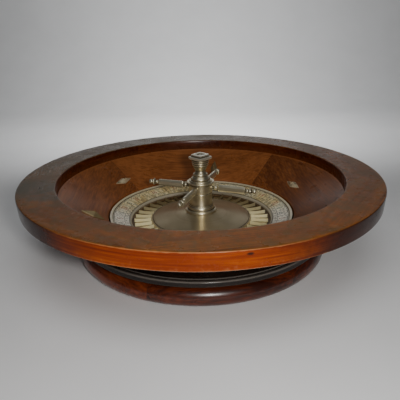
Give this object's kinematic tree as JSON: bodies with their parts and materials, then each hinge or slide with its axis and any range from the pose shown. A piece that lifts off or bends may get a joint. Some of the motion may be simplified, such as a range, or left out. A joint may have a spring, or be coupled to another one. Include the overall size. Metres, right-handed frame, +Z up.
{
  "type": "roulette wheel",
  "caption": "Turned wooden roulette bowl on a moulded foot, with a free-spinning rotor that carries a number ring, fretted pockets, a dished plate and a metal turret with handle arms.",
  "frame": {"origin": "On the spindle's axis, in the plane of the foot ring's underside.", "axes": "+Z is up along the spindle's axis. -Y is the side nearest the viewer."},
  "size_m": [0.61, 0.61, 0.1696],
  "materials": {
    "mahogany_rim": "worn French-polished mahogany, grey bloom on top",
    "mahogany_track": "segmented mahogany veneer, satin polish",
    "mahogany_dark": "dark red-brown mahogany, gloss polish",
    "ebonised_wood": "black ebonised wood, gloss polish",
    "aged_bronze": "aged bronze, dull",
    "steel": "turned steel",
    "brass": "turned brass",
    "aged_silver": "aged silver-grey metal with brown patina",
    "fret_metal": "pale yellowish metal, satin, worn bright",
    "pocket_brown": "brown tarnished metal",
    "pewter": "spun grey metal, satin",
    "aged_nickel": "aged nickel plate, warm tint"
  },
  "bodies": {
    "bowl": {"foot_ring": "mahogany_dark", "base_board": "ebonised_wood", "bowl_shell": "mahogany_dark", "bowl_apron": "mahogany_track", "rim_ring": "mahogany_rim", "spindle": "steel", "deflector_1": "aged_bronze", "deflector_2": "aged_bronze", "deflector_3": "aged_bronze", "deflector_4": "aged_bronze", "deflector_5": "aged_bronze", "deflector_6": "aged_bronze"},
    "rotor": {"rotor_core": "mahogany_dark", "rotor_bush": "brass", "number_ring": "aged_silver", "pocket_floor": "pocket_brown", "cone_plate": "pewter", "turret_column": "aged_nickel", "turret_finial": "aged_nickel", "arm_1": "aged_nickel", "arm_2": "aged_nickel", "arm_3": "aged_nickel", "arm_4": "aged_nickel", "fret_01": "fret_metal", "fret_02": "fret_metal", "fret_03": "fret_metal", "fret_04": "fret_metal", "fret_05": "fret_metal", "fret_06": "fret_metal", "fret_07": "fret_metal", "fret_08": "fret_metal", "fret_09": "fret_metal", "fret_10": "fret_metal", "fret_11": "fret_metal", "fret_12": "fret_metal", "fret_13": "fret_metal", "fret_14": "fret_metal", "fret_15": "fret_metal", "fret_16": "fret_metal", "fret_17": "fret_metal", "fret_18": "fret_metal", "fret_19": "fret_metal", "fret_20": "fret_metal", "fret_21": "fret_metal", "fret_22": "fret_metal", "fret_23": "fret_metal", "fret_24": "fret_metal", "fret_25": "fret_metal", "fret_26": "fret_metal", "fret_27": "fret_metal", "fret_28": "fret_metal", "fret_29": "fret_metal", "fret_30": "fret_metal", "fret_31": "fret_metal", "fret_32": "fret_metal", "fret_33": "fret_metal", "fret_34": "fret_metal", "fret_35": "fret_metal", "fret_36": "fret_metal", "fret_37": "fret_metal"}
  },
  "joints": [
    {"name": "rotor_spin", "type": "hinge", "parent": "bowl", "child": "rotor", "pos_m": [0, 0, 0], "axis": [0, 0, 1], "continuous": true}
  ]
}
